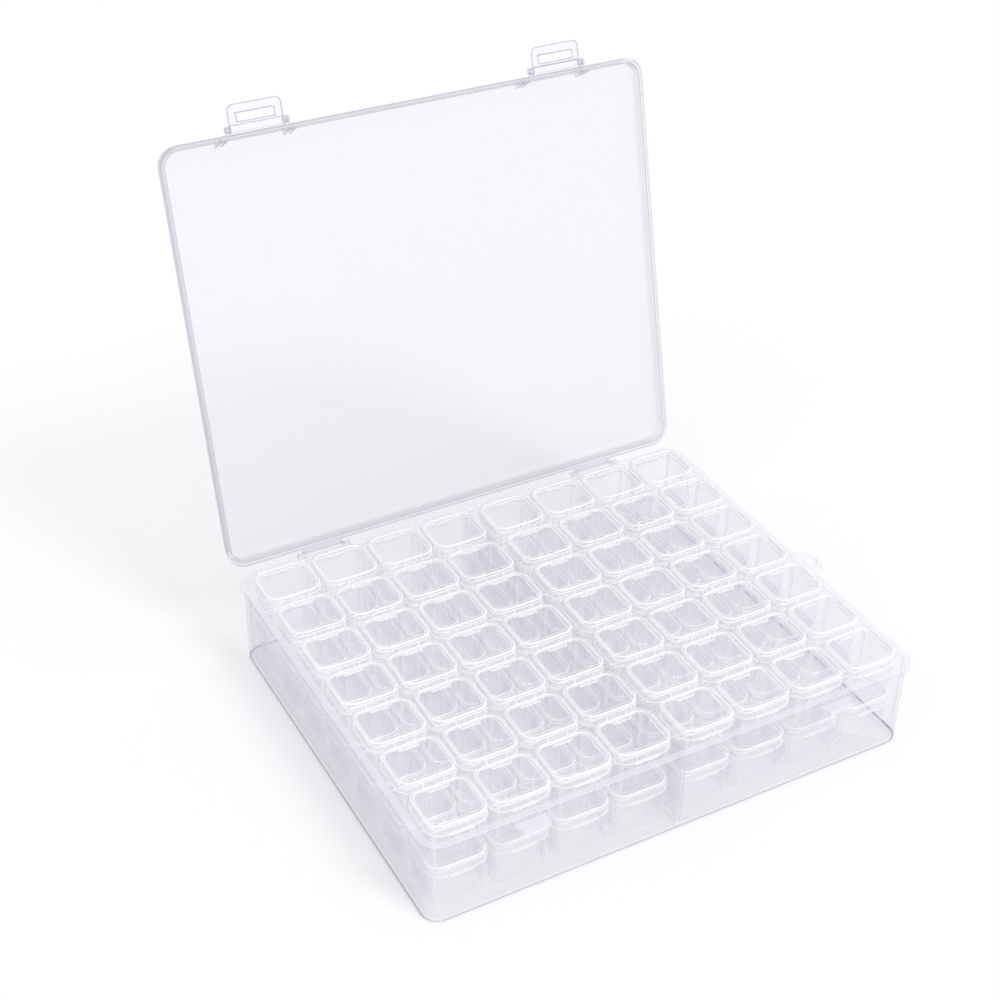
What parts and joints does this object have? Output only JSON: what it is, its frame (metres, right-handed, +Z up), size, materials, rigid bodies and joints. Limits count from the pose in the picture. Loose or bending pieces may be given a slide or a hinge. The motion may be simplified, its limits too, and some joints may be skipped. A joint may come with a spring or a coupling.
{
  "type": "bead storage box",
  "caption": "Clear hinged craft box with swing latches, filled with layers of small snap-lid jars joined in lift-out strips.",
  "frame": {"origin": "centre of the tray's flat underside", "axes": "+X right along the lid's hinge, +Y back to the hinge, +Z up"},
  "size_m": [0.2236, 0.2362, 0.2218],
  "materials": {
    "tray": "frosted",
    "lid": "frosted",
    "latch": "satin",
    "jar": "satin",
    "jar_lid": "satin"
  },
  "bodies": {
    "base_tray": {"base_tray": "tray"},
    "box_lid": {"box_lid": "lid"},
    "left_latch": {"left_latch": "latch"},
    "right_latch": {"right_latch": "latch"},
    "lower_left_strip_1": {"lower_left_jars_1": "jar", "lower_left_lids_1": "jar_lid"},
    "upper_left_strip_1": {"upper_left_jars_1": "jar"},
    "upper_left_lids_1": {"upper_left_lids_1": "jar_lid"},
    "lower_left_strip_2": {"lower_left_jars_2": "jar", "lower_left_lids_2": "jar_lid"},
    "upper_left_strip_2": {"upper_left_jars_2": "jar"},
    "upper_left_lids_2": {"upper_left_lids_2": "jar_lid"},
    "lower_left_strip_3": {"lower_left_jars_3": "jar", "lower_left_lids_3": "jar_lid"},
    "upper_left_strip_3": {"upper_left_jars_3": "jar"},
    "upper_left_lids_3": {"upper_left_lids_3": "jar_lid"},
    "lower_left_strip_4": {"lower_left_jars_4": "jar", "lower_left_lids_4": "jar_lid"},
    "upper_left_strip_4": {"upper_left_jars_4": "jar"},
    "upper_left_lids_4": {"upper_left_lids_4": "jar_lid"},
    "lower_left_strip_5": {"lower_left_jars_5": "jar", "lower_left_lids_5": "jar_lid"},
    "upper_left_strip_5": {"upper_left_jars_5": "jar"},
    "upper_left_lids_5": {"upper_left_lids_5": "jar_lid"},
    "lower_left_strip_6": {"lower_left_jars_6": "jar", "lower_left_lids_6": "jar_lid"},
    "upper_left_strip_6": {"upper_left_jars_6": "jar"},
    "upper_left_lids_6": {"upper_left_lids_6": "jar_lid"},
    "lower_left_strip_7": {"lower_left_jars_7": "jar", "lower_left_lids_7": "jar_lid"},
    "upper_left_strip_7": {"upper_left_jars_7": "jar"},
    "upper_left_lids_7": {"upper_left_lids_7": "jar_lid"},
    "lower_right_strip_1": {"lower_right_jars_1": "jar", "lower_right_lids_1": "jar_lid"},
    "upper_right_strip_1": {"upper_right_jars_1": "jar"},
    "upper_right_lids_1": {"upper_right_lids_1": "jar_lid"},
    "lower_right_strip_2": {"lower_right_jars_2": "jar", "lower_right_lids_2": "jar_lid"},
    "upper_right_strip_2": {"upper_right_jars_2": "jar"},
    "upper_right_lids_2": {"upper_right_lids_2": "jar_lid"},
    "lower_right_strip_3": {"lower_right_jars_3": "jar", "lower_right_lids_3": "jar_lid"},
    "upper_right_strip_3": {"upper_right_jars_3": "jar"},
    "upper_right_lids_3": {"upper_right_lids_3": "jar_lid"},
    "lower_right_strip_4": {"lower_right_jars_4": "jar", "lower_right_lids_4": "jar_lid"},
    "upper_right_strip_4": {"upper_right_jars_4": "jar"},
    "upper_right_lids_4": {"upper_right_lids_4": "jar_lid"},
    "lower_right_strip_5": {"lower_right_jars_5": "jar", "lower_right_lids_5": "jar_lid"},
    "upper_right_strip_5": {"upper_right_jars_5": "jar"},
    "upper_right_lids_5": {"upper_right_lids_5": "jar_lid"},
    "lower_right_strip_6": {"lower_right_jars_6": "jar", "lower_right_lids_6": "jar_lid"},
    "upper_right_strip_6": {"upper_right_jars_6": "jar"},
    "upper_right_lids_6": {"upper_right_lids_6": "jar_lid"},
    "lower_right_strip_7": {"lower_right_jars_7": "jar", "lower_right_lids_7": "jar_lid"},
    "upper_right_strip_7": {"upper_right_jars_7": "jar"},
    "upper_right_lids_7": {"upper_right_lids_7": "jar_lid"}
  },
  "joints": [
    {"name": "lid_hinge", "type": "hinge", "parent": "base_tray", "child": "box_lid", "pos_m": [0, 0.0903, 0.0377], "axis": [-1, 0, 0], "range_deg": [-104, 0]},
    {"name": "left_latch_hinge", "type": "hinge", "parent": "box_lid", "child": "left_latch", "pos_m": [-0.067, 0.13654, 0.2124], "axis": [-1, 0, 0], "range_deg": [-90, 0]},
    {"name": "right_latch_hinge", "type": "hinge", "parent": "box_lid", "child": "right_latch", "pos_m": [0.067, 0.13654, 0.2124], "axis": [-1, 0, 0], "range_deg": [-90, 0]},
    {"name": "lower_left_lift_1", "type": "slide", "parent": "base_tray", "child": "lower_left_strip_1", "axis": [0, 0, 1], "range_m": [0, 0.0401]},
    {"name": "upper_left_lift_1", "type": "slide", "parent": "lower_left_strip_1", "child": "upper_left_strip_1", "axis": [0, 0, 1], "range_m": [0, 0.0228]},
    {"name": "upper_left_lids_hinge_1", "type": "hinge", "parent": "upper_left_strip_1", "child": "upper_left_lids_1", "pos_m": [-0.05275, -0.0602, 0.0428], "axis": [-1, 0, 0], "range_deg": [0, 90]},
    {"name": "lower_left_lift_2", "type": "slide", "parent": "base_tray", "child": "lower_left_strip_2", "axis": [0, 0, 1], "range_m": [0, 0.0401]},
    {"name": "upper_left_lift_2", "type": "slide", "parent": "lower_left_strip_2", "child": "upper_left_strip_2", "axis": [0, 0, 1], "range_m": [0, 0.0228]},
    {"name": "upper_left_lids_hinge_2", "type": "hinge", "parent": "upper_left_strip_2", "child": "upper_left_lids_2", "pos_m": [-0.05275, -0.0363, 0.0428], "axis": [-1, 0, 0], "range_deg": [0, 90]},
    {"name": "lower_left_lift_3", "type": "slide", "parent": "base_tray", "child": "lower_left_strip_3", "axis": [0, 0, 1], "range_m": [0, 0.0401]},
    {"name": "upper_left_lift_3", "type": "slide", "parent": "lower_left_strip_3", "child": "upper_left_strip_3", "axis": [0, 0, 1], "range_m": [0, 0.0228]},
    {"name": "upper_left_lids_hinge_3", "type": "hinge", "parent": "upper_left_strip_3", "child": "upper_left_lids_3", "pos_m": [-0.05275, -0.0124, 0.0428], "axis": [-1, 0, 0], "range_deg": [0, 90]},
    {"name": "lower_left_lift_4", "type": "slide", "parent": "base_tray", "child": "lower_left_strip_4", "axis": [0, 0, 1], "range_m": [0, 0.0401]},
    {"name": "upper_left_lift_4", "type": "slide", "parent": "lower_left_strip_4", "child": "upper_left_strip_4", "axis": [0, 0, 1], "range_m": [0, 0.0228]},
    {"name": "upper_left_lids_hinge_4", "type": "hinge", "parent": "upper_left_strip_4", "child": "upper_left_lids_4", "pos_m": [-0.05275, 0.0115, 0.0428], "axis": [-1, 0, 0], "range_deg": [0, 90]},
    {"name": "lower_left_lift_5", "type": "slide", "parent": "base_tray", "child": "lower_left_strip_5", "axis": [0, 0, 1], "range_m": [0, 0.0401]},
    {"name": "upper_left_lift_5", "type": "slide", "parent": "lower_left_strip_5", "child": "upper_left_strip_5", "axis": [0, 0, 1], "range_m": [0, 0.0228]},
    {"name": "upper_left_lids_hinge_5", "type": "hinge", "parent": "upper_left_strip_5", "child": "upper_left_lids_5", "pos_m": [-0.05275, 0.0354, 0.0428], "axis": [-1, 0, 0], "range_deg": [0, 90]},
    {"name": "lower_left_lift_6", "type": "slide", "parent": "base_tray", "child": "lower_left_strip_6", "axis": [0, 0, 1], "range_m": [0, 0.0401]},
    {"name": "upper_left_lift_6", "type": "slide", "parent": "lower_left_strip_6", "child": "upper_left_strip_6", "axis": [0, 0, 1], "range_m": [0, 0.0228]},
    {"name": "upper_left_lids_hinge_6", "type": "hinge", "parent": "upper_left_strip_6", "child": "upper_left_lids_6", "pos_m": [-0.05275, 0.0593, 0.0428], "axis": [-1, 0, 0], "range_deg": [0, 90]},
    {"name": "lower_left_lift_7", "type": "slide", "parent": "base_tray", "child": "lower_left_strip_7", "axis": [0, 0, 1], "range_m": [0, 0.0401]},
    {"name": "upper_left_lift_7", "type": "slide", "parent": "lower_left_strip_7", "child": "upper_left_strip_7", "axis": [0, 0, 1], "range_m": [0, 0.0228]},
    {"name": "upper_left_lids_hinge_7", "type": "hinge", "parent": "upper_left_strip_7", "child": "upper_left_lids_7", "pos_m": [-0.05275, 0.0612, 0.0428], "axis": [1, 0, 0], "range_deg": [0, 90]},
    {"name": "lower_right_lift_1", "type": "slide", "parent": "base_tray", "child": "lower_right_strip_1", "axis": [0, 0, 1], "range_m": [0, 0.0401]},
    {"name": "upper_right_lift_1", "type": "slide", "parent": "lower_right_strip_1", "child": "upper_right_strip_1", "axis": [0, 0, 1], "range_m": [0, 0.0228]},
    {"name": "upper_right_lids_hinge_1", "type": "hinge", "parent": "upper_right_strip_1", "child": "upper_right_lids_1", "pos_m": [0.05275, -0.0602, 0.0428], "axis": [-1, 0, 0], "range_deg": [0, 90]},
    {"name": "lower_right_lift_2", "type": "slide", "parent": "base_tray", "child": "lower_right_strip_2", "axis": [0, 0, 1], "range_m": [0, 0.0401]},
    {"name": "upper_right_lift_2", "type": "slide", "parent": "lower_right_strip_2", "child": "upper_right_strip_2", "axis": [0, 0, 1], "range_m": [0, 0.0228]},
    {"name": "upper_right_lids_hinge_2", "type": "hinge", "parent": "upper_right_strip_2", "child": "upper_right_lids_2", "pos_m": [0.05275, -0.0363, 0.0428], "axis": [-1, 0, 0], "range_deg": [0, 90]},
    {"name": "lower_right_lift_3", "type": "slide", "parent": "base_tray", "child": "lower_right_strip_3", "axis": [0, 0, 1], "range_m": [0, 0.0401]},
    {"name": "upper_right_lift_3", "type": "slide", "parent": "lower_right_strip_3", "child": "upper_right_strip_3", "axis": [0, 0, 1], "range_m": [0, 0.0228]},
    {"name": "upper_right_lids_hinge_3", "type": "hinge", "parent": "upper_right_strip_3", "child": "upper_right_lids_3", "pos_m": [0.05275, -0.0124, 0.0428], "axis": [-1, 0, 0], "range_deg": [0, 90]},
    {"name": "lower_right_lift_4", "type": "slide", "parent": "base_tray", "child": "lower_right_strip_4", "axis": [0, 0, 1], "range_m": [0, 0.0401]},
    {"name": "upper_right_lift_4", "type": "slide", "parent": "lower_right_strip_4", "child": "upper_right_strip_4", "axis": [0, 0, 1], "range_m": [0, 0.0228]},
    {"name": "upper_right_lids_hinge_4", "type": "hinge", "parent": "upper_right_strip_4", "child": "upper_right_lids_4", "pos_m": [0.05275, 0.0115, 0.0428], "axis": [-1, 0, 0], "range_deg": [0, 90]},
    {"name": "lower_right_lift_5", "type": "slide", "parent": "base_tray", "child": "lower_right_strip_5", "axis": [0, 0, 1], "range_m": [0, 0.0401]},
    {"name": "upper_right_lift_5", "type": "slide", "parent": "lower_right_strip_5", "child": "upper_right_strip_5", "axis": [0, 0, 1], "range_m": [0, 0.0228]},
    {"name": "upper_right_lids_hinge_5", "type": "hinge", "parent": "upper_right_strip_5", "child": "upper_right_lids_5", "pos_m": [0.05275, 0.0354, 0.0428], "axis": [-1, 0, 0], "range_deg": [0, 90]},
    {"name": "lower_right_lift_6", "type": "slide", "parent": "base_tray", "child": "lower_right_strip_6", "axis": [0, 0, 1], "range_m": [0, 0.0401]},
    {"name": "upper_right_lift_6", "type": "slide", "parent": "lower_right_strip_6", "child": "upper_right_strip_6", "axis": [0, 0, 1], "range_m": [0, 0.0228]},
    {"name": "upper_right_lids_hinge_6", "type": "hinge", "parent": "upper_right_strip_6", "child": "upper_right_lids_6", "pos_m": [0.05275, 0.0593, 0.0428], "axis": [-1, 0, 0], "range_deg": [0, 90]},
    {"name": "lower_right_lift_7", "type": "slide", "parent": "base_tray", "child": "lower_right_strip_7", "axis": [0, 0, 1], "range_m": [0, 0.0401]},
    {"name": "upper_right_lift_7", "type": "slide", "parent": "lower_right_strip_7", "child": "upper_right_strip_7", "axis": [0, 0, 1], "range_m": [0, 0.0228]},
    {"name": "upper_right_lids_hinge_7", "type": "hinge", "parent": "upper_right_strip_7", "child": "upper_right_lids_7", "pos_m": [0.05275, 0.0612, 0.0428], "axis": [1, 0, 0], "range_deg": [0, 90]}
  ]
}
